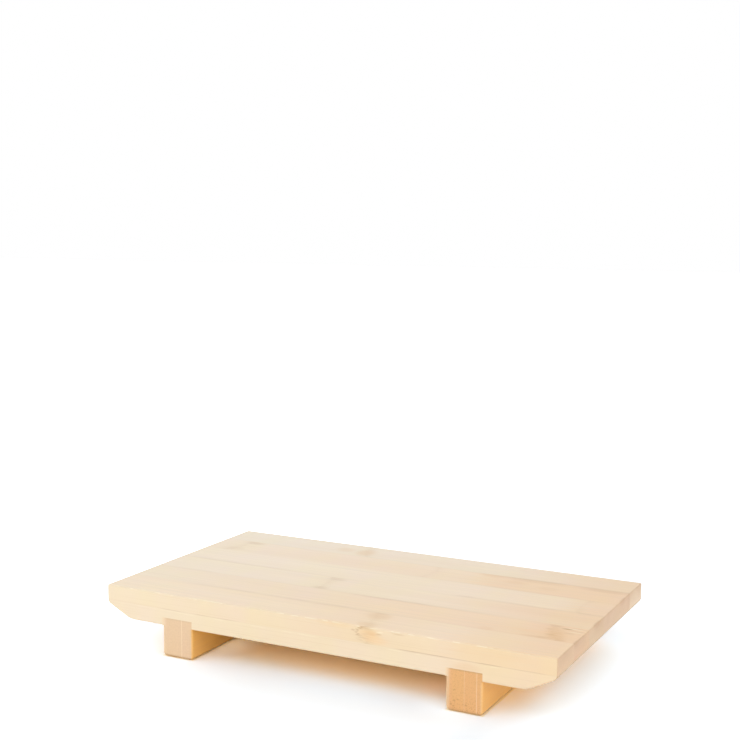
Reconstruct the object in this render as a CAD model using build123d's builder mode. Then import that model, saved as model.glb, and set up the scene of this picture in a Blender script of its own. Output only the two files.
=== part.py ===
from build123d import *
import os

# Sushi geta board in laminated bamboo, in millimetres.
# The origin is on the table under the middle of the board, +X runs along the board and +Z is up.

# Board
board_length = 240.0
board_slat_width = 22.0       # one slat of the board, across the grain
board_slat_count = 6          # slats side by side in the upper ply
top_ply_thickness = 7.9
base_ply_thickness = 8.4
base_seam_shift = 11.0        # sideways stagger of the lower seams against the upper ones
end_face_height = 9.4         # upright part of each end, measured down from the top
end_bevel_run = 14.0          # how far the bevel under each end reaches inwards
end_nose_radius = 3.0         # round where an end face turns into its bevel
end_belly_radius = 11.0       # round where a bevel runs out into the underside
board_arris_radius = 0.8      # sanded edges of the board

# Feet
stand_height = 15.7           # table to the underside of the board
foot_slat_thickness = 5.9     # one slat of a foot, standing on edge
foot_slat_count = 3           # slats in the stock that both feet are sawn from
right_foot_seam_shift = 3.4   # the left foot is whole slats, the right foot is sawn off the seams
foot_inset = 43.0             # end of the board to the middle of a foot
housing_depth = 4.0           # how far a foot is let into the underside
foot_arris_radius = 1.8       # edges of a foot below the board, sanded after it was glued in

# Sizes that follow
board_width = board_slat_count * board_slat_width
half_length = board_length / 2
glue_height = stand_height + base_ply_thickness
top_height = glue_height + top_ply_thickness
nose_height = top_height - end_face_height
foot_width = foot_slat_count * foot_slat_thickness
foot_height = stand_height + housing_depth
left_foot_x = foot_inset - half_length
right_foot_x = half_length - foot_inset


def slat_spans(count, width, shift=0.0):
    """Low and high edge of each slat in a glued row, about the row's middle."""
    row_width = count * width
    seams = [index * width + shift for index in range(count)]
    edges = sorted({0.0, *seams, row_width})
    return [(low - row_width / 2, high - row_width / 2) for low, high in zip(edges, edges[1:])]


def make_foot_bar(x_middle):
    """One foot, as long as the board is wide: sanded edges below the board, square ones in its housing."""
    with BuildPart() as bar:
        with BuildSketch() as section:
            with Locations((x_middle, 0)):
                Rectangle(foot_width, board_width)
        extrude(amount=stand_height)
        fillet(bar.edges() - bar.faces().sort_by(Axis.Z)[-1].edges(), foot_arris_radius)
        with BuildSketch(Plane.XY.offset(stand_height)):
            add(section.sketch)
        extrude(amount=housing_depth)
    return bar.part


def save_slat(label, blank, x_span, y_span, z_span):
    """One slat, with the shape that machining the glued blank gave it."""
    x_low, x_high = x_span
    y_low, y_high = y_span
    z_low, z_high = z_span
    with BuildPart() as slat:
        with BuildSketch(Plane.XY.offset(z_low)):
            with Locations(((x_low + x_high) / 2, (y_low + y_high) / 2)):
                Rectangle(x_high - x_low, y_high - y_low)
        extrude(amount=z_high - z_low)
        add(blank, mode=Mode.INTERSECT)
    slat.part.label = label
    export_step(slat.part, f"parts/{label}.step")


os.makedirs("parts", exist_ok=True)

# Both plies as one machined board: bevelled ends, sanded edges, then a housing for each foot
with BuildPart() as board:
    with BuildSketch(Plane.XZ) as side_view:
        with BuildLine():
            Polyline(
                (-half_length, top_height),
                (half_length, top_height),
                (half_length, nose_height),
                (half_length - end_bevel_run, stand_height),
                (end_bevel_run - half_length, stand_height),
                (-half_length, nose_height),
                close=True,
            )
        make_face()
        fillet(side_view.vertices().group_by(Axis.Y)[1], end_nose_radius)
        fillet(side_view.vertices().group_by(Axis.Y)[0], end_belly_radius)
    extrude(amount=board_width / 2, both=True)
    side_arrises = board.faces().filter_by(Axis.Y).edges()
    top_end_arrises = board.edges().filter_by(Axis.Y).group_by(Axis.Z)[-1]
    fillet(side_arrises + top_end_arrises, board_arris_radius)
    with BuildSketch(Plane.XZ):
        with Locations((left_foot_x, stand_height), (right_foot_x, stand_height)):
            Rectangle(foot_width, 2 * housing_depth)
    extrude(amount=board_width, both=True, mode=Mode.SUBTRACT)

# The two plies, slats counted from the back
plies = [
    ("top", slat_spans(board_slat_count, board_slat_width), (glue_height, top_height)),
    ("base", slat_spans(board_slat_count, board_slat_width, base_seam_shift), (stand_height, glue_height)),
]
for ply_name, rows, z_span in plies:
    for number, y_span in enumerate(reversed(rows), start=1):
        label = f"{ply_name}_slat_{number}"
        save_slat(label, board.part, (-half_length, half_length), y_span, z_span)

# The two feet, slats counted from the left
feet = [
    ("left_foot", left_foot_x, slat_spans(foot_slat_count, foot_slat_thickness)),
    ("right_foot", right_foot_x, slat_spans(foot_slat_count, foot_slat_thickness, right_foot_seam_shift)),
]
for foot_name, x_middle, columns in feet:
    bar = make_foot_bar(x_middle)
    for number, (low, high) in enumerate(columns, start=1):
        label = f"{foot_name}_slat_{number}"
        x_span = (x_middle + low, x_middle + high)
        save_slat(label, bar, x_span, (-board_width / 2, board_width / 2), (0.0, foot_height))
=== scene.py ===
import math
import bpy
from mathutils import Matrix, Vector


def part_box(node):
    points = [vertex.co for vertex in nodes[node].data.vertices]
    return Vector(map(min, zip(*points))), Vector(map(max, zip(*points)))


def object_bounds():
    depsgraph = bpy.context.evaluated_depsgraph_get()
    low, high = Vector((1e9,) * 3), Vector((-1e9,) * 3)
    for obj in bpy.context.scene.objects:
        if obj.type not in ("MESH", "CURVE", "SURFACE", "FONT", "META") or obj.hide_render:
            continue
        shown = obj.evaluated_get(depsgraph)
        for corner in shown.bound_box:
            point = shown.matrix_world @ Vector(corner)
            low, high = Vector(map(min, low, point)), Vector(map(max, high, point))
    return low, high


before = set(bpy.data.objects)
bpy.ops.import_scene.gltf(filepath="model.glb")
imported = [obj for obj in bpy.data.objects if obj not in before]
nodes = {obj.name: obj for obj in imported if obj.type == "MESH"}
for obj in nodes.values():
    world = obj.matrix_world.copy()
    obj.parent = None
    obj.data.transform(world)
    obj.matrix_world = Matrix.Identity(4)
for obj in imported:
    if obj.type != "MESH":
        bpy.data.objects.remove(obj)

from types import SimpleNamespace

import bpy
from mathutils import Matrix

cadLow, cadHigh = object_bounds()
print("stage 1: frame loaded,", len(nodes), "slats")

mm = 1000.0                              # the finishes are laid out in millimetres
axisNames = ("along", "across", "deep")  # with the grain, over the slat and through it


# small helpers for shader trees

def addNode(tree, kind, **settings):
    node = tree.nodes.new(kind)
    for name, value in settings.items():
        setattr(node, name, value)
    return node


def feed(tree, socket, value):
    # a socket is linked, a plain value is typed in
    if isinstance(value, bpy.types.NodeSocket):
        tree.links.new(value, socket)
    elif socket.type == "RGBA" and len(value) == 3:
        socket.default_value = (*value, 1.0)
    else:
        socket.default_value = value


def calc(tree, operation, *values, clamp=False):
    node = addNode(tree, "ShaderNodeMath", operation=operation, use_clamp=clamp)
    for socket, value in zip(node.inputs, values):
        feed(tree, socket, value)
    return node.outputs[0]


def times(tree, first, *others):
    result = first
    for other in others:
        result = calc(tree, "MULTIPLY", result, other)
    return result


def plus(tree, first, *others):
    result = first
    for other in others:
        result = calc(tree, "ADD", result, other)
    return result


def distance(tree, value, place):
    return calc(tree, "ABSOLUTE", calc(tree, "SUBTRACT", value, place))


def ovalShares(tree, values, middle, size):
    # offsets from the middle of an oval, as shares of its half sizes
    offsets = [calc(tree, "SUBTRACT", value, place) for value, place in zip(values, middle)]
    return [calc(tree, "DIVIDE", offset, half) for offset, half in zip(offsets, size)]


def ovalRadius(tree, shares):
    # 0 in the middle of the oval, 1 on its rim
    squares = [calc(tree, "POWER", share, 2.0) for share in shares]
    return calc(tree, "SQRT", plus(tree, *squares))


def ease(tree, value, low, high, outLow=0.0, outHigh=1.0):
    # smooth step from outLow at low to outHigh at high
    node = addNode(tree, "ShaderNodeMapRange", interpolation_type="SMOOTHSTEP")
    for socket, amount in zip(node.inputs, (value, low, high, outLow, outHigh)):
        feed(tree, socket, amount)
    return node.outputs[0]


def between(tree, share, first, second):
    # first where share is 0, second where it is 1
    return ease(tree, share, 0.0, 1.0, first, second)


def sway(tree, noise, reach):
    # noise runs from 0 to 1, so it is taken about its middle
    return times(tree, calc(tree, "SUBTRACT", noise, 0.5), reach)


def aroundOne(tree, noise, span, depth):
    # a factor that goes depth below and above 1 over a span of the noise
    return ease(tree, noise, *span, 1.0 - depth, 1.0 + depth)


def blend(tree, factor, first, second):
    # a mix node keeps its colours in sockets 6 and 7
    node = addNode(tree, "ShaderNodeMix", data_type="RGBA")
    feed(tree, node.inputs[0], factor)
    feed(tree, node.inputs[6], first)
    feed(tree, node.inputs[7], second)
    return node.outputs[2]


def vectorCalc(tree, operation, first, second):
    node = addNode(tree, "ShaderNodeVectorMath", operation=operation)
    feed(tree, node.inputs[0], first)
    feed(tree, node.inputs[1], second)
    return node.outputs[0]


def scaled(tree, colour, factor):
    node = addNode(tree, "ShaderNodeVectorMath", operation="SCALE")
    feed(tree, node.inputs[0], colour)
    feed(tree, node.inputs["Scale"], factor)
    return node.outputs[0]


def cloud(tree, vector, factors, detail, roughness=0.5):
    # noise pulled out along the grain
    node = addNode(tree, "ShaderNodeTexNoise")
    feed(tree, node.inputs["Vector"], vectorCalc(tree, "MULTIPLY", vector, factors))
    node.inputs["Scale"].default_value = 1.0
    node.inputs["Detail"].default_value = detail
    node.inputs["Roughness"].default_value = roughness
    return node


def lengthRamp(tree, along, half, stops):
    # value along a length that reaches half each way, from given stops (place from its middle, value)
    node = addNode(tree, "ShaderNodeValToRGB")
    ramp = node.color_ramp
    ramp.interpolation = "EASE"
    while len(ramp.elements) < len(stops):
        ramp.elements.new(1.0)
    for element, (place, value) in zip(ramp.elements, stops):
        element.position = (place + half) / (2 * half)
        element.color = (value, value, value, 1.0)
    feed(tree, node.inputs[0], calc(tree, "MULTIPLY_ADD", along, 1 / (2 * half), 0.5))
    return node.outputs[0]


def brightRamp(tree, along, half, stops):
    # the same for values up to 2
    halved = [(place, value / 2) for place, value in stops]
    return times(tree, lengthRamp(tree, along, half, halved), 2.0)


# bamboo grain, shared by every slat

grainLayers = {   # repeats per mm along, across and deep, then detail and roughness of the noise
    "Tone": ((0.006, 0.07, 0.07), 1.5, 0.5),      # slow drift of colour
    "Streak": ((0.012, 1.2, 1.2), 4.0, 0.6),      # soft streaks
    "Hair": ((0.02, 5.0, 5.0), 2.0, 0.5),         # fine lines
    "Fleck": ((0.10, 2.2, 2.2), 3.0, 0.6),        # short dashes that crowd at a knuckle
    "Dash": ((0.24, 0.8, 0.8), 1.0, 0.5),         # broken light line on a rubbed arris
    "Patch": ((0.055, 0.03, 0.03), 1.0, 0.5),     # what breaks up a line along its length
}
grainRun = {
    "wander": (0.012, 0.05, 0.05),                # how the fibres drift sideways, repeats per mm
    "wanderDetail": 1.0,
    "wanderReach": 1.6,                           # mm
    "wanderers": ("Streak", "Hair", "Fleck"),     # layers that drift with the fibres
    "bundle": (0.010, 1.25, 1.25),                # fibre bundles, dots on end grain, repeats per mm
    "bundleEdge": (0.42, 0.12),                   # from the rim of a bundle to its core
}
seedSteps = (317, 53, 29)                         # mm of grain that a seed of 1 moves a slat on


def makeGrainGroup():
    tree = bpy.data.node_groups.new("bambooGrain", "ShaderNodeTree")
    face = tree.interface
    face.new_socket("Vector", in_out="INPUT", socket_type="NodeSocketVector")
    for name in (*grainLayers, "Bundle"):
        face.new_socket(name, in_out="OUTPUT", socket_type="NodeSocketFloat")
    start = addNode(tree, "NodeGroupInput").outputs[0]
    end = addNode(tree, "NodeGroupOutput")
    drift = cloud(tree, start, grainRun["wander"], grainRun["wanderDetail"]).outputs["Color"]
    drift = vectorCalc(tree, "SUBTRACT", drift, (0.5, 0.5, 0.5))
    reach = grainRun["wanderReach"]
    drift = vectorCalc(tree, "MULTIPLY", drift, (0.0, reach, reach))
    drifted = vectorCalc(tree, "ADD", start, drift)
    for name, (factors, detail, roughness) in grainLayers.items():
        place = drifted if name in grainRun["wanderers"] else start
        feed(tree, end.inputs[name], cloud(tree, place, factors, detail, roughness).outputs[0])
    cells = addNode(tree, "ShaderNodeTexVoronoi", feature="F1")
    feed(tree, cells.inputs["Vector"], vectorCalc(tree, "MULTIPLY", drifted, grainRun["bundle"]))
    cells.inputs["Scale"].default_value = 1.0
    feed(tree, end.inputs["Bundle"], ease(tree, cells.outputs["Distance"], *grainRun["bundleEdge"]))
    return tree


grainGroup = makeGrainGroup()


# a slat to be finished: its material, its grain and where on it the finish falls

facing = {   # how far the surface turns to a side, as a cosine, from none to full
    "end": (0.6, 0.9),
    "edge": (0.5, 0.9),
    "arris": (0.97, 0.84),        # squarely to no side
    "below": (-0.5, -0.9),
    "endArris": (0.2, 0.5),
    "rubbedEnd": (0.15, 0.5),
    "offTheEdge": (0.95, 0.75),
}
grainRange = {   # stretch of a grain value over which an effect comes in
    "mottle": (0.35, 0.65),
    "hue": (0.22, 0.78),
    "dots": (0.3, 0.7),
    "streak": (0.25, 0.75),
    "hair": (0.3, 0.7),
    "seamBand": (0.35, 0.65),
    "seamPatch": (0.3, 0.62),
    "seamFleck": (0.36, 0.56),
    "glue": (0.42, 0.56),
    "glueGlint": (0.47, 0.38),
    "rubbedHighlight": (0.5, 0.6),
    "sheen": (0.2, 0.8),
}


def gapTo(slat, axis, side):
    # mm from a slat's low or high side
    sign = {"low": 1.0, "high": -1.0}[side]
    return calc(slat.tree, "MULTIPLY_ADD", slat.spot[axis], sign, slat.half[axis])


def startSlat(name, look, axes, low, high):
    # axes: the object axes that run along the grain, across the slat and through it
    material = bpy.data.materials.new(name)
    material.use_nodes = True
    tree = material.node_tree
    tree.nodes.clear()
    order = {key: "xyz".index(axis) for key, axis in zip(axisNames, axes)}
    slat = SimpleNamespace(material=material, tree=tree, look=look)
    slat.half = {key: (high[index] - low[index]) / 2 * mm for key, index in order.items()}

    # place on the slat in mm, from its middle
    coords = addNode(tree, "ShaderNodeTexCoord")
    inMm = addNode(tree, "ShaderNodeVectorMath", operation="MULTIPLY_ADD")
    feed(tree, inMm.inputs[0], coords.outputs["Object"])
    inMm.inputs[1].default_value = (mm, mm, mm)
    inMm.inputs[2].default_value = [-(a + b) / 2 * mm for a, b in zip(low, high)]
    parts = addNode(tree, "ShaderNodeSeparateXYZ")
    feed(tree, parts.inputs[0], inMm.outputs[0])
    slat.spot = {key: parts.outputs[index] for key, index in order.items()}

    # the grain there, each slat with its own stretch of it
    place = addNode(tree, "ShaderNodeCombineXYZ")
    for socket, key in zip(place.inputs, axisNames):
        feed(tree, socket, slat.spot[key])
    fibreNode = addNode(tree, "ShaderNodeGroup", node_tree=grainGroup)
    shift = [look["seed"] * step for step in seedSteps]
    feed(tree, fibreNode.inputs[0], vectorCalc(tree, "ADD", place.outputs[0], shift))
    slat.fibre = {socket.name: socket for socket in fibreNode.outputs}

    # which way the surface faces
    geometry = addNode(tree, "ShaderNodeNewGeometry")
    normal = addNode(tree, "ShaderNodeSeparateXYZ")
    feed(tree, normal.inputs[0], geometry.outputs["Normal"])
    slat.up = normal.outputs[2]
    slat.tilt = {key: calc(tree, "ABSOLUTE", normal.outputs[index]) for key, index in order.items()}
    squarest = calc(tree, "MAXIMUM", slat.tilt["along"], slat.tilt["across"])
    squarest = calc(tree, "MAXIMUM", squarest, slat.tilt["deep"])
    slat.endMask = ease(tree, slat.tilt["along"], *facing["end"])
    slat.edgeMask = ease(tree, slat.tilt["across"], *facing["edge"])
    slat.arrisMask = ease(tree, squarest, *facing["arris"])
    return slat


# marks of the living culm, with what they have unless a slat says otherwise

knuckleLook = {   # a slat gives its place, width and bow in mm, its depth, and the share of it mid slat
    "lean": 0.0,                  # mm that its line slants over half the slat
    "side": 1.0,                  # 1.0 with the tan side to the right, -1.0 to the left
    "ragged": 9.0,                # mm that the line strays with the fibres
    "darkFibre": (0.5, 0.66),     # fleck values that turn dark
    "lightFibre": (0.44, 0.32),   # and light
    "line": (0.6, 0.1),           # mm from the line, from none to full
    "lineDepth": (0.2, 0.55),     # between dark fibres and on them
    "band": (-0.7, 0.3),          # mm past the line, from none to full
    "bandReach": 1.6,             # times the knuckle's width
    "bandDepth": 0.5,
    "bandStreak": (0.35, 0.65),   # streak values over which the band strengthens
    "bandUneven": 0.4,
    "fanReach": 3.2,              # times the knuckle's width
    "fanDepth": (0.1, 0.45),      # between dark fibres and on them
    "fanLight": 0.6,
    "strongFrom": 0.35,           # share of the half width where it starts to strengthen to the sides
}
eyeLook = {   # a slat gives its place and half sizes in mm, and how far it is filled
    "lean": 0.0,                  # half lengths that it slants over half its width
    "ragged": 1.1,                # half sizes that its outline strays with the fibres
    "fleck": (0.36, 0.6),         # fleck values over which it strengthens
    "thin": 0.6,                  # strength between the fibres
    "full": 1.1,                  # and on them
    "fade": (1.05, 0.3),          # half sizes from the middle, from none to full
    "rim": 0.0,                   # strength of a dark rim on its left
    "rimPlace": 0.9,
    "rimWidth": (0.16, 0.03),
    "rimSide": (0.2, -0.7),       # half lengths from the middle, from none to full
    "rimStreak": (0.42, 0.58),    # streak values over which the rim strengthens
    "rimBroken": 0.35,
}
dashLook = {   # a slat gives its place and half sizes in mm, and its depth
    "light": False,
    "wobble": 1.2,                # mm that it strays with the fibres
    "fade": (1.15, 0.2),          # half sizes from the middle, from none to full
}
dashAxes = {   # where on a slat the dashes of a list lie
    "dashes": ("along", "across"),
    "edgeDashes": ("along", "deep"),
    "endDashes": ("across", "deep"),
}


def knuckleMarks(slat, knuckle):
    # a bowed band across the slat: a thin line, a tan side and a fan of dark and light dashes
    tree, fibre = slat.tree, slat.fibre
    share = calc(tree, "DIVIDE", slat.spot["across"], slat.half["across"])
    bow = times(tree, calc(tree, "POWER", share, 2.0), knuckle["bow"])
    lean = times(tree, share, knuckle["lean"])
    line = plus(tree, bow, lean, sway(tree, fibre["Fleck"], knuckle["ragged"]), knuckle["at"])
    offset = times(tree, calc(tree, "SUBTRACT", slat.spot["along"], line), knuckle["side"])
    far = calc(tree, "ABSOLUTE", offset)
    width = knuckle["width"]
    darkFibre = ease(tree, fibre["Fleck"], *knuckle["darkFibre"])
    lightFibre = ease(tree, fibre["Fleck"], *knuckle["lightFibre"])
    band = times(
        tree,
        ease(tree, offset, *knuckle["band"]),
        ease(tree, offset, width * knuckle["bandReach"], 0.0, 0.0, knuckle["bandDepth"]),
        ease(tree, fibre["Streak"], *knuckle["bandStreak"], knuckle["bandUneven"], 1.0),
    )
    thin = times(tree, ease(tree, far, *knuckle["line"]), between(tree, darkFibre, *knuckle["lineDepth"]))
    fan = ease(tree, far, width * knuckle["fanReach"], 0.0)
    dashes = times(tree, fan, between(tree, darkFibre, *knuckle["fanDepth"]))
    fromMiddle = calc(tree, "ABSOLUTE", share)
    nearSide = ease(tree, fromMiddle, knuckle["strongFrom"], 1.0, knuckle["middle"], 1.0)
    dark = times(tree, plus(tree, band, thin, dashes), nearSide)
    dark = calc(tree, "MULTIPLY", dark, knuckle["depth"], clamp=True)
    light = times(tree, fan, lightFibre, knuckle["depth"] * knuckle["fanLight"])
    return dark, light


def eyeMarks(slat, eye):
    # a rounded stain, with a broken rim on its left where a bud sat on the culm
    tree, fibre = slat.tree, slat.fibre
    shares = ovalShares(tree, slat.spot.values(), eye["at"], eye["size"])
    leftSide = ease(tree, shares[0], *eye["rimSide"])
    shares[0] = calc(tree, "MULTIPLY_ADD", shares[1], eye["lean"], shares[0])
    radius = plus(tree, ovalRadius(tree, shares), sway(tree, fibre["Fleck"], eye["ragged"]))
    fibrous = ease(tree, fibre["Fleck"], *eye["fleck"], eye["thin"], eye["full"])
    fill = times(tree, ease(tree, radius, *eye["fade"]), fibrous, eye["fill"])
    ring = ease(tree, distance(tree, radius, eye["rimPlace"]), *eye["rimWidth"])
    broken = ease(tree, fibre["Streak"], *eye["rimStreak"], eye["rimBroken"], 1.0)
    return fill, times(tree, ring, leftSide, broken, eye["rim"])


def dashMark(slat, dash, axes):
    # one short line of the grain, a little crooked
    tree = slat.tree
    run, aside = (slat.spot[key] for key in axes)
    aside = plus(tree, aside, sway(tree, slat.fibre["Fleck"], dash["wobble"]))
    shares = ovalShares(tree, (run, aside), dash["at"], dash["size"])
    return times(tree, ease(tree, ovalRadius(tree, shares), *dash["fade"]), dash["depth"])


def addMarks(slat, colour):
    tree, look = slat.tree, slat.look
    for knuckle in look.get("knuckles", []):
        dark, light = knuckleMarks(slat, {**knuckleLook, **knuckle})
        colour = blend(tree, light, colour, look["arris"])
        colour = blend(tree, dark, colour, look["knuckle"])
    for eye in look.get("eyes", []):
        fill, rim = eyeMarks(slat, {**eyeLook, **eye})
        colour = blend(tree, fill, colour, eye.get("tone", look["stain"]))
        colour = blend(tree, rim, colour, look["knuckle"])
    for listName, axes in dashAxes.items():
        for ownDash in look.get(listName, []):
            dash = {**dashLook, **ownDash}
            tone = look["arris"] if dash["light"] else look["knuckle"]
            colour = blend(tree, dashMark(slat, dash, axes), colour, tone)
    return colour


# the finish of a slat, one step on top of the other

def woodColour(slat):
    # open faces, side grain and end grain
    tree, look, fibre = slat.tree, slat.look, slat.fibre
    # tone from pale to honey along each slat; that the board's slats all run paler towards the left end
    # is in part a painted sheen
    feathered = plus(tree, slat.spot["along"], sway(tree, fibre["Streak"], look["feather"]))
    warmth = lengthRamp(tree, feathered, slat.half["along"], look["warmth"])
    warmth = calc(tree, "ADD", warmth, sway(tree, fibre["Tone"], look["drift"]), clamp=True)
    face = blend(tree, warmth, look["facePale"], look["faceHoney"])
    edge = blend(tree, warmth, look["edgePale"], look["edgeHoney"])
    end = blend(tree, warmth, look["endPale"], look["endHoney"])
    colour = blend(tree, slat.edgeMask, face, edge)
    colour = blend(tree, slat.endMask, colour, end)

    # end grain is mottled darker towards the top, and along its arrises
    mottle = ease(tree, fibre["Tone"], *grainRange["mottle"], *look["mottle"])
    upper = ease(tree, slat.spot["deep"], -slat.half["deep"], slat.half["deep"])
    endArris = ease(tree, slat.tilt["along"], *facing["endArris"])
    for mask in (times(tree, slat.endMask, upper), times(tree, slat.arrisMask, endArris)):
        colour = blend(tree, times(tree, mask, mottle, look["endShade"]), colour, look["endDark"])

    hue = blend(tree, ease(tree, fibre["Patch"], *grainRange["hue"]), look["patchLow"], look["patchHigh"])
    colour = vectorCalc(tree, "MULTIPLY", colour, hue)
    if "under" in look:
        below = ease(tree, slat.up, *facing["below"])
        reach = lengthRamp(tree, slat.spot["along"], slat.half["along"], look["underReach"])
        colour = blend(tree, times(tree, below, reach), colour, look["under"])
    return colour


def addFibres(slat, colour):
    # faint lines on the faces, dots on the end grain, then streaks and hairs over all
    tree, look, fibre = slat.tree, slat.look, slat.fibre
    nearBottom = ease(tree, gapTo(slat, "deep", "low"), *look["lowDotsReach"])
    endDots = between(tree, nearBottom, look["dots"], look["lowDots"])
    dots = between(tree, slat.endMask, look["lines"], endDots)
    uneven = ease(tree, fibre["Streak"], *grainRange["dots"], look["dotsUneven"], 1.0)
    colour = blend(tree, times(tree, fibre["Bundle"], dots, uneven), colour, look["fibre"])
    streak = aroundOne(tree, fibre["Streak"], grainRange["streak"], look["streak"])
    hair = aroundOne(tree, fibre["Hair"], grainRange["hair"], look["hair"])
    calm = times(tree, slat.edgeMask, look["edgeCalm"])
    return scaled(tree, colour, between(tree, calm, times(tree, streak, hair), 1.0))


def addSeams(slat, colour):
    # glued edges: a thin line with a soft band beside it, stronger on some stretches
    tree, look, fibre = slat.tree, slat.look, slat.fibre
    groove = 0.0
    for side, stops in look["seams"].items():
        gap = gapTo(slat, "across", side)
        crooked = plus(tree, gap, sway(tree, fibre["Fleck"], look["seamWobble"]))
        line = ease(tree, crooked, *look["seamLine"])
        streaky = ease(tree, fibre["Streak"], *grainRange["seamBand"], *look["bandDepth"])
        band = times(tree, ease(tree, gap, look["seamBand"], 0.0), streaky)
        strength = times(
            tree,
            lengthRamp(tree, slat.spot["along"], slat.half["along"], stops),
            ease(tree, fibre["Patch"], *grainRange["seamPatch"], look["seamFade"], 1.0),
            ease(tree, fibre["Fleck"], *grainRange["seamFleck"], look["seamFade"], 1.0),
            between(tree, slat.endMask, 1.0, look["endSeam"]),
        )
        seam = times(tree, calc(tree, "MAXIMUM", line, band), strength)
        colour = blend(tree, seam, colour, look["seam"])
        groove = plus(tree, groove, times(tree, line, strength))
    return colour, groove


def addGlueLine(slat, colour, groove):
    # between the plies, in places with a pale glint beside it
    tree, look, fibre = slat.tree, slat.look, slat.fibre
    side, stops = look["glue"]
    gap = gapTo(slat, "deep", side)
    strength = lengthRamp(tree, slat.spot["along"], slat.half["along"], stops)
    broken = ease(tree, fibre["Fleck"], *grainRange["glue"], look["glueFade"], 1.0)
    glue = times(tree, ease(tree, gap, *look["glueLine"]), strength, broken)
    colour = blend(tree, glue, colour, look["seam"])
    beside = ease(tree, distance(tree, gap, look["glintPlace"]), *look["glintWidth"])
    glint = times(tree, beside, ease(tree, fibre["Fleck"], *grainRange["glueGlint"]), look["glueGlint"])
    return blend(tree, glint, colour, look["arris"]), plus(tree, groove, glue)


def addContactShade(slat, colour):
    # painted contact shade darkens a foot's lower edge, and a dark line over its end, glue with painted
    # shadow, runs along the joint
    tree, look = slat.tree, slat.look
    soil = between(tree, slat.endMask, look["sideContactShade"], look["soil"])
    colour = blend(tree, times(tree, slat.soiled, soil), colour, look["soilTone"])
    upper = ease(tree, gapTo(slat, "deep", "high"), *look["topLineReach"])
    return blend(tree, times(tree, upper, slat.endMask, look["topLine"]), colour, look["soilTone"])


def addHousedEdge(slat, colour):
    # one side of a foot's end fades to a pale cream, most where it is let in; below the board it is a
    # painted highlight on the arris
    tree, look = slat.tree, slat.look
    reach, housed, below = look["housedEdge"]
    fade = times(
        tree,
        ease(tree, gapTo(slat, "across", "low"), reach, 0.0),
        ease(tree, gapTo(slat, "deep", "low"), *look["housedFrom"], below, housed),
        ease(tree, slat.tilt["across"], *facing["offTheEdge"]),
    )
    return blend(tree, fade, colour, look["housedTone"])


def addRubbedHighlights(slat, colour):
    # sanded arrises are rubbed lighter in dashes, and carry a painted highlight along them
    tree, look = slat.tree, slat.look
    dashed = ease(tree, slat.fibre["Dash"], *grainRange["rubbedHighlight"], look["rubbedLow"], 1.0)
    rubbedHighlight = times(tree, dashed, slat.arrisMask, look["rubbedHighlight"])
    if "soil" in look:
        rubbedHighlight = times(tree, rubbedHighlight, between(tree, slat.soiled, 1.0, look["soilRubbed"]))
    onEnds = ease(tree, slat.tilt["along"], *facing["rubbedEnd"], 1.0, look["endRubbed"])
    return blend(tree, times(tree, rubbedHighlight, onEnds), colour, look["arris"])


def addSurface(slat, colour, groove):
    # satin oiled surface, a little uneven along the fibres
    tree, look, fibre = slat.tree, slat.look, slat.fibre
    shader = addNode(tree, "ShaderNodeBsdfPrincipled")
    feed(tree, shader.inputs["Base Color"], colour)
    rough = ease(tree, fibre["Streak"], *grainRange["sheen"], *look["rough"])
    rough = calc(tree, "MULTIPLY_ADD", slat.endMask, look["endRough"], rough)
    feed(tree, shader.inputs["Roughness"], rough)
    shader.inputs["Specular IOR Level"].default_value = look["specular"]
    ridges = times(tree, fibre["Hair"], look["hairRidge"])
    ridges = calc(tree, "MULTIPLY_ADD", fibre["Streak"], look["streakRidge"], ridges)
    height = calc(tree, "SUBTRACT", ridges, times(tree, fibre["Bundle"], look["bundlePit"]))
    bump = addNode(tree, "ShaderNodeBump")
    bump.inputs["Strength"].default_value = look["bump"]
    bump.inputs["Distance"].default_value = look["bumpHeight"]
    feed(tree, bump.inputs["Height"], calc(tree, "SUBTRACT", height, groove))
    feed(tree, shader.inputs["Normal"], bump.outputs[0])
    output = addNode(tree, "ShaderNodeOutputMaterial")
    feed(tree, output.inputs["Surface"], shader.outputs[0])


def slatMaterial(name, look, axes, low, high):
    slat = startSlat(name, look, axes, low, high)
    colour = woodColour(slat)
    colour = addFibres(slat, colour)
    colour = addMarks(slat, colour)
    colour, groove = addSeams(slat, colour)
    if "glue" in look:
        colour, groove = addGlueLine(slat, colour, groove)
    if "soil" in look:
        slat.soiled = ease(slat.tree, gapTo(slat, "deep", "low"), *look["soilReach"])
        colour = addContactShade(slat, colour)
    if "housedEdge" in look:
        colour = addHousedEdge(slat, colour)
    colour = addRubbedHighlights(slat, colour)
    addSurface(slat, colour, groove)
    return slat.material


def dress(nodeName, look, axes):
    low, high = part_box(nodeName)
    material = slatMaterial(nodeName + "_bamboo", look, axes, low, high)
    for slot in nodes[nodeName].material_slots:
        slot.material = material


# the upper ply

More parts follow.
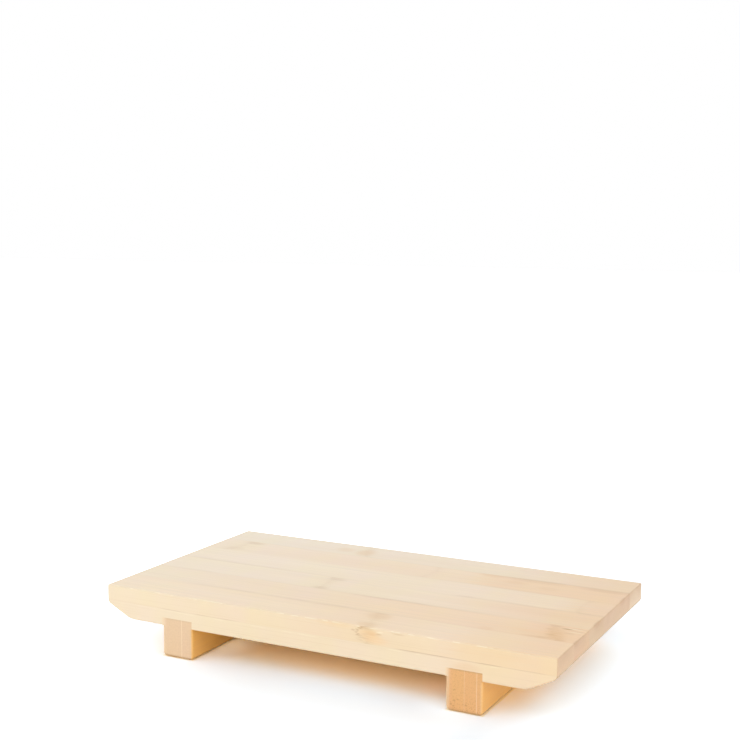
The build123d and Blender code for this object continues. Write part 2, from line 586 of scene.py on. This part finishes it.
boardLook = {
    "facePale": (0.888, 0.760, 0.593),
    "faceHoney": (0.852, 0.602, 0.380),
    "edgePale": (0.848, 0.726, 0.553),
    "edgeHoney": (0.833, 0.629, 0.406),
    "endPale": (0.725, 0.560, 0.400),
    "endHoney": (0.696, 0.499, 0.337),
    "endDark": (0.600, 0.400, 0.260),
    "fibre": (0.60, 0.40, 0.21),
    "knuckle": (0.52, 0.33, 0.16),
    "stain": (0.76, 0.52, 0.29),
    "seam": (0.50, 0.33, 0.18),
    "arris": (0.97, 0.87, 0.68),
    "patchLow": (1.0, 1.010, 0.965),     # yellower patches
    "patchHigh": (1.0, 0.992, 1.022),    # greyer patches
    "feather": 45.0,                     # mm that a change of tone runs out along the fibres
    "drift": 0.35,
    "mottle": (0.5, 1.3),                # least and most
    "endShade": 0.45,
    "lines": 0.12,                       # fibre bundles on the faces
    "dots": 0.35,                        # and on end grain
    "lowDots": 0.35,
    "lowDotsReach": (9.0, 1.0),          # mm from the bottom, from none to full
    "dotsUneven": 0.35,
    "streak": 0.035,
    "hair": 0.015,
    "edgeCalm": 0.7,                     # how far the edges go without streaks
    "seamLine": (0.55, 0.05),            # mm from the seam, from none to full
    "seamWobble": 1.8,                   # mm
    "seamBand": 2.6,                     # mm
    "bandDepth": (0.25, 0.6),            # least and most
    "seamFade": 0.4,
    "endSeam": 0.15,
    "glueLine": (0.34, 0.08),            # mm from the glue, from none to full
    "glueFade": 0.5,
    "glueGlint": 0.0,
    "glintPlace": 0.8,                   # mm from the glue
    "glintWidth": (0.4, 0.1),            # mm, from none to full
    "rubbedHighlight": 0.5,
    "rubbedLow": 0.0,                    # between the dashes
    "endRubbed": 0.0,
    "rough": (0.41, 0.53),               # least and most
    "endRough": 0.12,                    # more on end grain
    "specular": 0.45,
    "bump": 0.35,
    "bumpHeight": 0.00006,               # m
    "streakRidge": 0.5,
    "hairRidge": 0.25,
    "bundlePit": 0.3,
}

# seams between the top slats, counted from the back: (mm along, darkness)
topSeams = [
    [(-120, 0.04), (10, 0.08), (50, 0.25), (62, 0.6), (80, 0.7), (90, 0.4), (104, 0.5), (118, 0.6)],
    [(-120, 0.04), (45, 0.06), (58, 0.2), (98, 0.22), (108, 0.06)],
    [
        (-116, 0.22), (-100, 0.4), (-60, 0.34), (-45, 0.15), (40, 0.08), (50, 0.45), (60, 0.28),
        (90, 0.36), (115, 0.4),
    ],
    [
        (-118, 0.08), (-92, 0.3), (-80, 0.1), (-20, 0.15), (-6, 0.45), (8, 0.6), (32, 0.6), (46, 0.36),
        (60, 0.25), (82, 0.1),
    ],
    [
        (-118, 0.04), (-88, 0.06), (-72, 0.25), (-55, 0.42), (-30, 0.34), (-12, 0.45), (2, 0.75),
        (18, 0.4), (36, 0.12), (92, 0.08), (100, 0.14), (108, 0.06),
    ],
]
frontGlue = [   # the same for the glue line between the plies
    (-118, 0.04), (-91, 0.04), (-79, 0.45), (-71, 0.1), (-62, 0.42), (-56, 0.22), (-48, 0.44),
    (-37, 0.04), (41, 0.04), (48, 0.44), (56, 0.68), (65, 0.62), (72, 0.42), (80, 0.34), (88, 0.7),
    (92, 0.56), (96, 0.18), (111, 0.32), (117, 0.05),
]
endStain = (0.54, 0.33, 0.19)   # dark fibres in the right end
redEnd = {
    "endPale": (0.755, 0.570, 0.405),
    "endHoney": (0.735, 0.505, 0.335),
}

# places are mm from the slat's middle along, across and deep, sizes are half sizes
topSlats = {
    "top_slat_1": {
        "seed": 1.3,
        "facePale": (0.868, 0.760, 0.614),
        "faceHoney": (0.833, 0.602, 0.391),
        "endPale": (0.758, 0.611, 0.460),
        "endHoney": (0.749, 0.580, 0.417),
        "warmth": [(-115, 0.0), (40, 0.28), (66, 0.46), (104, 0.74), (115, 0.78)],
        "knuckles": [{"at": -34, "width": 3.4, "bow": 2.0, "lean": -3.5, "depth": 0.3, "middle": 0.8}],
        "eyes": [
            {"at": (-33, -2.5, 3.9), "size": (7.0, 9.0, 3.0), "fill": 0.45},
            {"at": (-46, -1.5, 3.9), "size": (7.0, 6.0, 3.0), "fill": 0.3},
        ],
    },
    "top_slat_2": {
        "seed": 2.6,
        "warmth": [(-115, 0.12), (30, 0.34), (62, 0.78), (115, 0.95)],
        "knuckles": [
            {"at": -102, "width": 3.4, "bow": -2.0, "lean": 2.5, "depth": 0.25, "middle": 0.8,
             "side": -1.0},
            {"at": 17, "width": 2.5, "bow": -2.0, "depth": 0.2, "middle": 0.6},
        ],
        "eyes": [
            {"at": (47, 9.5, 3.9), "size": (9.0, 5.0, 3.0), "fill": 0.4},
            {"at": (63, 2.5, 3.9), "size": (8.0, 4.0, 3.0), "fill": 0.4},
            {"at": (81, -1.0, 3.9), "size": (8.0, 4.0, 3.0), "fill": 0.3},
            {"at": (120, -1.0, 3.4), "size": (1.3, 8.0, 2.6), "fill": 0.4, "tone": endStain},
        ],
        "dashes": [
            {"at": (-98.5, 8.5), "size": (7.0, 4.0), "depth": 0.24},
            {"at": (-103.5, -6.0), "size": (7.0, 4.0), "depth": 0.1},
            {"at": (70.0, 8.8), "size": (22.0, 3.6), "depth": 0.18},
            {"at": (108.0, 8.5), "size": (17.0, 3.6), "depth": 0.22},
        ],
    },
    "top_slat_3": {
        "seed": 3.9,
        "warmth": [(-115, 0.0), (40, 0.2), (90, 0.4), (115, 0.85)],
        "knuckles": [{"at": 105, "width": 2.5, "bow": 2.0, "depth": 0.25, "middle": 0.5}],
    },
    "top_slat_4": {
        "seed": 4.2,
        "warmth": [(-115, 0.05), (20, 0.2), (115, 0.85)],
        "knuckles": [{"at": -23, "width": 3.4, "bow": -1.0, "lean": -1.5, "depth": 0.28, "middle": 0.8}],
        "eyes": [
            {"at": (120, 1.0, 3.4), "size": (1.3, 8.0, 2.6), "fill": 0.35, "tone": endStain},
        ],
        "dashes": [
            {"at": (-20.7, 8.4), "size": (6.0, 3.2), "depth": 0.22},
            {"at": (-21.5, -9.2), "size": (6.0, 3.0), "depth": 0.22},
        ],
    },
    "top_slat_5": {
        "seed": 5.5,
        "faceHoney": (0.868, 0.600, 0.374),
        **redEnd,
        "knuckle": (0.60, 0.37, 0.17),
        "stain": (0.76, 0.47, 0.22),
        "warmth": [(-115, 0.05), (-40, 0.25), (60, 0.58), (86, 0.7), (106, 0.97), (115, 1.0)],
        "knuckles": [{"at": 106, "width": 4.0, "bow": 0.0, "lean": -4.0, "depth": 0.4, "middle": 0.75}],
        "eyes": [
            {"at": (108.0, -1.0, 3.9), "size": (6.5, 12.0, 5.0), "lean": 0.65, "fill": 0.7,
             "ragged": 3.0, "thin": 0.2},
            {"at": (109.5, -6.5, 3.9), "size": (5.5, 5.0, 5.0), "lean": 0.4, "fill": 0.5,
             "ragged": 2.4, "thin": 0.3},
            {"at": (77.5, -9.0, 3.9), "size": (5.0, 3.5, 3.0), "fill": 0.25},
            {"at": (120, -9.5, 3.4), "size": (1.3, 8.0, 2.6), "fill": 0.35, "tone": endStain},
            {"at": (120, -9.0, -3.9), "size": (1.3, 8.0, 2.4), "fill": 0.4, "tone": (0.74, 0.44, 0.27)},
        ],
        "dashes": [
            {"at": (105.0, -9.0), "size": (4.5, 2.0), "depth": 0.28},
            {"at": (100.0, -9.4), "size": (7.0, 1.6), "depth": 0.2},
            {"at": (105.2, 9.2), "size": (4.0, 2.0), "depth": 0.25},
            {"at": (103.5, 4.0), "size": (2.6, 1.2), "depth": 0.25},
            {"at": (106.0, -3.5), "size": (3.0, 1.2), "depth": 0.3},
            {"at": (113.5, 1.5), "size": (3.0, 1.4), "depth": 0.25},
            {"at": (113.0, -9.5), "size": (3.5, 1.2), "depth": 0.3},
            {"at": (111.0, 7.3), "size": (3.6, 1.1), "depth": 1.0},
            {"at": (116.0, 9.4), "size": (5.0, 0.6), "depth": 0.45},
            {"at": (116.8, 5.6), "size": (4.0, 0.6), "depth": 0.4},
            {"at": (114.0, 8.5), "size": (5.5, 0.5), "depth": 0.5, "light": True},
            {"at": (115.5, 3.9), "size": (4.5, 0.6), "depth": 0.5, "light": True},
        ],
    },
    "top_slat_6": {
        "seed": 6.8,
        "facePale": (0.908, 0.764, 0.584),
        "faceHoney": (0.871, 0.608, 0.372),
        **redEnd,
        "warmth": [
            (-115, 0.1), (-20, 0.26), (0, 0.38), (18, 0.44), (50, 0.36), (62, 0.32), (84, 0.56),
            (115, 0.78),
        ],
        "knuckles": [{"at": 26, "width": 3.4, "bow": 0.0, "lean": -2.5, "depth": 0.3, "middle": 0.6}],
        "eyes": [
            {"at": (30, -11.0, 1.0), "size": (7.2, 2.6, 3.0), "fill": 0.5, "rim": 0.7,
             "tone": (0.84, 0.55, 0.27)},
            {"at": (31.5, -11.0, 1.2), "size": (3.6, 2.6, 1.3), "fill": 0.4, "tone": (0.76, 0.49, 0.25)},
            {"at": (33, -11.0, -1.6), "size": (9.0, 2.0, 2.6), "fill": 0.4, "rim": 0.25,
             "tone": (0.90, 0.60, 0.32)},
            {"at": (12, -11.0, 3.4), "size": (13.0, 3.0, 2.6), "fill": 0.3, "tone": (0.86, 0.62, 0.33)},
            {"at": (26.5, 6.5, 3.9), "size": (8.0, 7.5, 3.0), "fill": 0.5},
            {"at": (27.0, -7.5, 3.9), "size": (6.5, 4.5, 3.0), "fill": 0.45},
            {"at": (88, -11.0, 1.0), "size": (22.0, 3.0, 7.0), "fill": 0.3, "tone": (0.84, 0.62, 0.37)},
        ],
        "edgeDashes": [
            {"at": (21.8, 1.7), "size": (1.4, 0.5), "depth": 0.4},
            {"at": (27.5, 3.1), "size": (4.5, 0.35), "depth": 0.3},
            {"at": (44.6, 2.9), "size": (4.0, 0.4), "depth": 0.3},
            {"at": (35.0, 1.2), "size": (1.8, 0.4), "depth": 0.4},
            {"at": (35.5, 2.4), "size": (2.2, 0.4), "depth": 0.5, "light": True},
        ],
    },
}
for number, (nodeName, own) in enumerate(topSlats.items()):
    look = {**boardLook, **own, "glue": ("low", frontGlue), "seams": {}}
    if number > 0:
        look["seams"]["high"] = topSeams[number - 1]
    if number < len(topSeams):
        look["seams"]["low"] = topSeams[number]
    dress(nodeName, look, "xyz")
print("stage 2: upper ply finished")


# the lower ply, seen along its edges and from below

baseLook = {
    **boardLook,
    "warmth": [(-115, 0.0), (115, 0.45)],
    "under": (0.95, 0.60, 0.25),     # honey-coloured below, paler towards the ends
    "underReach": [(-100, 0.3), (-80, 1.0), (80, 1.0), (100, 0.3)],
    "glue": ("high", frontGlue),
    "glueGlint": 0.35,
    # a steadier painted highlight along the lower ply's arrises, where the floor lights them
    "rubbedLow": 0.5,
}
frontBase = {   # the slat at the front has no knuckle in sight
    "warmth": [(-115, 0.0), (0, 0.12), (60, 0.05), (84, 0.4), (115, 0.5)],
    "eyes": [{"at": (78, -5.5, 0.8), "size": (9.0, 3.0, 3.2), "fill": 0.35}],
}
baseSeam = [(-118, 0.3), (-60, 0.5), (0, 0.25), (60, 0.45), (118, 0.3)]
baseKnuckle = {"width": 2.8, "bow": 2.0, "depth": 0.4, "middle": 0.5}
knucklePlaces = [52, -71, 14, -38, 88, -12]   # mm along the other slats, counted from the back
baseSlats = [{"knuckles": [{**baseKnuckle, "at": place}]} for place in knucklePlaces]
baseSlats.append(frontBase)
baseSeed, baseSeedStep = 10.0, 1.7
for number, own in enumerate(baseSlats, start=1):
    look = {**baseLook, **own, "seed": baseSeed + baseSeedStep * number, "seams": {}}
    if number > 1:
        look["seams"]["high"] = baseSeam
    if number < len(baseSlats):
        look["seams"]["low"] = baseSeam
    dress(f"base_slat_{number}", look, "xyz")
print("stage 3: lower ply finished")


# the feet, slats standing on edge with the grain running from front to back

footLook = {
    **boardLook,
    "facePale": (0.92, 0.56, 0.20),
    "faceHoney": (0.88, 0.49, 0.15),
    # the sides are their honey colour with the warm bounce of the board's shade painted in
    "edgePale": (0.93, 0.56, 0.19),
    "edgeHoney": (0.89, 0.49, 0.145),
    "warmth": [(-60, 0.4), (60, 0.6)],
    "seam": (0.95, 0.78, 0.58),
    "arris": (0.95, 0.74, 0.48),
    "seamLine": (0.45, 0.05),
    "seamWobble": 0.3,
    "seamBand": 0.5,
    "seamFade": 0.8,
    "endSeam": 1.0,
    "rubbedLow": 0.7,
    "endRubbed": 1.0,
    "endShade": 0.0,
    "edgeCalm": 0.0,
    # painted contact shade along the foot's lower edge, where it meets the table
    "soil": 0.55,                  # on the ends
    "sideContactShade": 0.3,
    "soilReach": (1.8, 0.3),       # mm from the table, from none to full
    "soilRubbed": 0.3,             # how far an arris in the painted contact shade is still rubbed
    "soilTone": (0.40, 0.27, 0.14),
    "topLine": 0.1,                # glue line with painted shadow in the joint over the end
    "topLineReach": (1.0, 0.2),    # mm from the joint, from none to full
    "housedFrom": (14.8, 16.4),    # mm up, from below the board to inside it
    "housedTone": (0.86, 0.70, 0.50),
}
speck = {"size": (0.9, 0.45), "depth": 0.5}
footSeam = 64.0                    # mm each way along the foot
footSeedStep = 1.9
feet = {
    "left": {
        "slats": 3,
        "seed": 28.0,
        "lightSeams": {2: 0.9},    # slat: how light the seam on its right is
        "specks": {},
        "firstSlat": {             # its left side is the foot's own, without the painted warm shade
            "edgePale": (0.87, 0.62, 0.35),
            "edgeHoney": (0.84, 0.56, 0.28),
            "housedEdge": (3.2, 0.95, 0.35),   # mm, share where it is let in, share below
        },
        "look": {
            # this foot's right side stands deepest in the board's shade, painted a deeper orange still
            "edgePale": (0.95, 0.585, 0.180),
            "edgeHoney": (0.91, 0.515, 0.135),
            "endPale": (0.785, 0.590, 0.400),
            "endHoney": (0.757, 0.542, 0.345),
            "fibre": (0.62, 0.40, 0.22),
            "rubbedHighlight": 0.15,
        },
    },
    "right": {
        "slats": 4,
        "seed": 35.0,
        "lightSeams": {2: 0.3, 3: 0.55},
        "specks": {                # slat: (mm across, mm up) of dark fibres that end in its front
            1: [(1.2, -6.5)],
            2: [(-1.9, 0.3), (-2.2, -7.1), (-0.3, -3.9), (-1.9, -4.6)],
            3: [(-2.2, -6.0)],
        },
        "firstSlat": {
            "edgePale": (0.89, 0.58, 0.26),
            "edgeHoney": (0.85, 0.51, 0.20),
            "housedEdge": (3.0, 0.95, 0.6),
        },
        "look": {
            "endPale": (0.776, 0.453, 0.207),
            "endHoney": (0.728, 0.400, 0.167),
            "fibre": (0.45, 0.22, 0.08),
            "knuckle": (0.45, 0.22, 0.08),
            "rubbedHighlight": 0.25,
            "topLine": 0.35,
            "dots": 0.4,
            "lowDots": 0.9,
        },
    },
}
for side, foot in feet.items():
    for number in range(1, foot["slats"] + 1):
        look = {**footLook, **foot["look"], "seed": foot["seed"] + footSeedStep * number, "seams": {}}
        if number == 1:
            look.update(foot["firstSlat"])
        look["endDashes"] = [{**speck, "at": place} for place in foot["specks"].get(number, [])]
        if number in foot["lightSeams"]:
            strength = foot["lightSeams"][number]
            look["seams"]["high"] = [(-footSeam, strength), (footSeam, strength)]
        dress(f"{side}_foot_slat_{number}", look, "yxz")
print("stage 4: feet finished")


# floor

floorLook = {   # in m, from the middle of the board, and a pair of places runs from none to full
    "size": 12.0,
    "drop": 0.0001,                     # below the feet
    "span": 0.2,                        # each way, where the ramps below are laid out
    "bounce": (1.0, 0.94, 0.84),        # warm paper, as it lights the board from below
    "exposure": [                       # over-exposed to the lens, with painted light at the left and painted shade by the right foot: (along, brightness)
        (-0.16, 1.8), (-0.09, 1.4), (-0.02, 1.25), (0.07, 1.25), (0.09, 1.14), (0.104, 1.25),
        (0.13, 1.5),
    ],
    "frontShadow": [                       # a faint painted shadow before the board: (across, brightness)
        (-0.14, 1.0), (-0.09, 0.935), (-0.066, 0.935), (-0.05, 1.0),
    ],
    "tint": (0.94, 1.02, 1.11),         # the lens sees it cooler, a painted cool cast where the floor lies in soft shade
    "tintRight": ((0.095, 0.11), (0.87, 1.02, 1.17)),
    "tintLeft": ((-0.088, -0.1), (0.94, 1.03, 1.18)),
    "tintAway": ((0.062, 0.085), (0.97, 1.02, 1.07)),    # before and behind the board
    "shade": (1.22, 1.09, 0.86),        # and painted warmer in the board's shade
    "shadeRight": ((0.07, 0.09), (1.06, 0.98, 0.81)),
    "shadeAlong": [(-0.092, 0.0), (-0.068, 1.0), (0.086, 1.0), (0.104, 0.0)],
    "shadeAcross": (0.06, 0.036),
    "contactShadow": (0.95, 0.82, 0.58),      # painted contact shadow under the edges of a foot
    "contactShadowAlong": (0.0096, 0.0088),   # from the foot's middle
    "contactShadowAcross": (0.0662, 0.065),
    "patches": {                        # stray light and shade: middle, half sizes, change of colour
        "leftGap": ((-0.066, -0.031), (0.019, 0.023), (1.42, 1.90, 2.80)),
        "leftFront": ((-0.046, -0.049), (0.040, 0.021), (0.88, 0.91, 0.91)),
        "front": ((0.018, -0.061), (0.075, 0.025), (1.02, 1.10, 1.16)),
        "rightFootInside": ((0.058, -0.038), (0.022, 0.016), (1.14, 1.12, 1.22)),
        "rightFootFront": ((0.066, -0.061), (0.020, 0.018), (1.12, 1.18, 1.22)),
        "rightFootOutside": ((0.098, -0.049), (0.017, 0.022), (0.87, 0.89, 0.90)),
        "rightFootBefore": ((0.086, -0.077), (0.024, 0.022), (1.03, 1.06, 1.08)),
    },
}


def seenDirectly(tree):
    # camera, mirror and glass rays
    path = addNode(tree, "ShaderNodeLightPath")
    seen = calc(tree, "MAXIMUM", path.outputs["Is Camera Ray"], path.outputs["Is Glossy Ray"])
    return calc(tree, "MAXIMUM", seen, path.outputs["Is Transmission Ray"])


def changed(tree, colour, share, change):
    # colour times change, as far as share goes
    return vectorCalc(tree, "MULTIPLY", colour, blend(tree, share, (1.0, 1.0, 1.0), change))


def floorTint(tree, along, across):
    # the floor's colour as the lens sees it, with painted shade and light
    away = calc(tree, "ABSOLUTE", across)
    tint = floorLook["tint"]
    for key, value in (("tintRight", along), ("tintLeft", along), ("tintAway", away)):
        places, ownTint = floorLook[key]
        tint = blend(tree, ease(tree, value, *places), tint, ownTint)

    # painted warmth in the board's shade, and a painted contact shadow along the feet
    places, rightTint = floorLook["shadeRight"]
    shadeTint = blend(tree, ease(tree, along, *places), floorLook["shade"], rightTint)
    shade = lengthRamp(tree, along, floorLook["span"], floorLook["shadeAlong"])
    shade = times(tree, shade, ease(tree, away, *floorLook["shadeAcross"]))
    tint = blend(tree, shade, tint, shadeTint)
    footLow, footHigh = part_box("left_foot_slat_2")
    footPlace = -(footLow[0] + footHigh[0]) / 2
    fromFoot = distance(tree, calc(tree, "ABSOLUTE", along), footPlace)
    contactShadow = ease(tree, fromFoot, *floorLook["contactShadowAlong"])
    contactShadow = times(tree, contactShadow, ease(tree, away, *floorLook["contactShadowAcross"]))
    tint = changed(tree, tint, contactShadow, floorLook["contactShadow"])

    for middle, size, change in floorLook["patches"].values():
        shares = ovalShares(tree, (along, across), middle, size)
        tint = changed(tree, tint, ease(tree, ovalRadius(tree, shares), 1.0, 0.0), change)
    return tint


def makeFloor():
    bpy.ops.object.select_all(action="DESELECT")
    height = cadLow.z - floorLook["drop"]
    bpy.ops.mesh.primitive_plane_add(size=floorLook["size"], location=(0, 0, height))
    floor = bpy.context.object
    floor.name = "floor"
    material = bpy.data.materials.new("floorPaper")
    material.use_nodes = True
    tree = material.node_tree
    tree.nodes.clear()
    coords = addNode(tree, "ShaderNodeTexCoord")
    parts = addNode(tree, "ShaderNodeSeparateXYZ")
    feed(tree, parts.inputs[0], coords.outputs["Object"])
    along, across = parts.outputs[0], parts.outputs[1]
    exposure = brightRamp(tree, along, floorLook["span"], floorLook["exposure"])
    exposure = times(tree, exposure, lengthRamp(tree, across, floorLook["span"], floorLook["frontShadow"]))
    seen = scaled(tree, floorTint(tree, along, across), exposure)
    paper = addNode(tree, "ShaderNodeBsdfDiffuse")
    feed(tree, paper.inputs["Color"], blend(tree, seenDirectly(tree), floorLook["bounce"], seen))
    output = addNode(tree, "ShaderNodeOutputMaterial")
    feed(tree, output.inputs["Surface"], paper.outputs[0])
    floor.data.materials.append(material)


# light

lightLook = {
    "tent": [           # (height as a share, brightness)
        (0.0, 0.6), (0.13, 0.7), (0.42, 1.55), (0.74, 1.3), (0.88, 0.35), (1.0, 0.0),
    ],
    "turn": -60.0,      # degrees from +X to the tent's brighter side
    "swing": 0.25,      # how much brighter
    "lamps": {          # name: (strength, degrees round from the front, degrees up, spread)
        "windowSoft": (0.1, -35.0, 40.0, 50.0),
    },
}


def makeLight():
    # a white tent, open at the top, a little brighter on one side
    world = bpy.data.worlds.new("studioWhite")
    bpy.context.scene.world = world
    world.use_nodes = True
    tree = world.node_tree
    tree.nodes.clear()
    back = addNode(tree, "ShaderNodeBackground")
    back.inputs["Color"].default_value = (1, 1, 1, 1)
    coords = addNode(tree, "ShaderNodeTexCoord")
    parts = addNode(tree, "ShaderNodeSeparateXYZ")
    feed(tree, parts.inputs[0], coords.outputs["Generated"])
    middle = 0.5        # of the tent's height
    stops = [(height - middle, value) for height, value in lightLook["tent"]]
    glow = brightRamp(tree, calc(tree, "SUBTRACT", parts.outputs[2], middle), middle, stops)
    turn = math.radians(lightLook["turn"])
    sideways = times(tree, parts.outputs[0], math.cos(turn))
    swing = calc(tree, "MULTIPLY_ADD", parts.outputs[1], math.sin(turn), sideways)
    glow = times(tree, glow, calc(tree, "MULTIPLY_ADD", swing, lightLook["swing"], 1.0))
    feed(tree, back.inputs["Strength"], between(tree, seenDirectly(tree), glow, 1.0))
    output = addNode(tree, "ShaderNodeOutputWorld")
    feed(tree, output.inputs["Surface"], back.outputs[0])
    for name, (strength, around, up, spread) in lightLook["lamps"].items():
        bpy.ops.object.light_add(type="SUN")
        lamp = bpy.context.object
        lamp.name = name
        lamp.data.energy = strength
        lamp.data.angle = math.radians(spread)
        lamp.rotation_euler = (math.radians(90.0 - up), 0.0, math.radians(around))


# camera

cameraView = {
    "place": (0.28679, -0.56488, 0.21193),
    "turn": 27.249,     # degrees to the left of straight at the front
    "down": 6.306,
    "roll": 0.291,
    "frame": 36.0,      # mm, square
    "lens": 61.692,     # mm
    "near": 0.01,       # m
}


def makeCamera():
    bpy.ops.object.camera_add()
    camera = bpy.context.object
    camera.name = "productCamera"
    camera.data.sensor_width = cameraView["frame"]
    camera.data.lens = cameraView["lens"]
    camera.data.clip_start = cameraView["near"]
    turn, down, roll = (math.radians(cameraView[key]) for key in ("turn", "down", "roll"))
    aim = Matrix.Rotation(turn, 4, "Z") @ Matrix.Rotation(math.pi / 2 - down, 4, "X")
    aim = aim @ Matrix.Rotation(roll, 4, "Z")
    camera.matrix_world = Matrix.Translation(cameraView["place"]) @ aim
    bpy.context.scene.camera = camera


makeFloor()
makeLight()
makeCamera()
bpy.context.scene.view_settings.view_transform = "Standard"
print("stage 5: floor, light and camera in place")
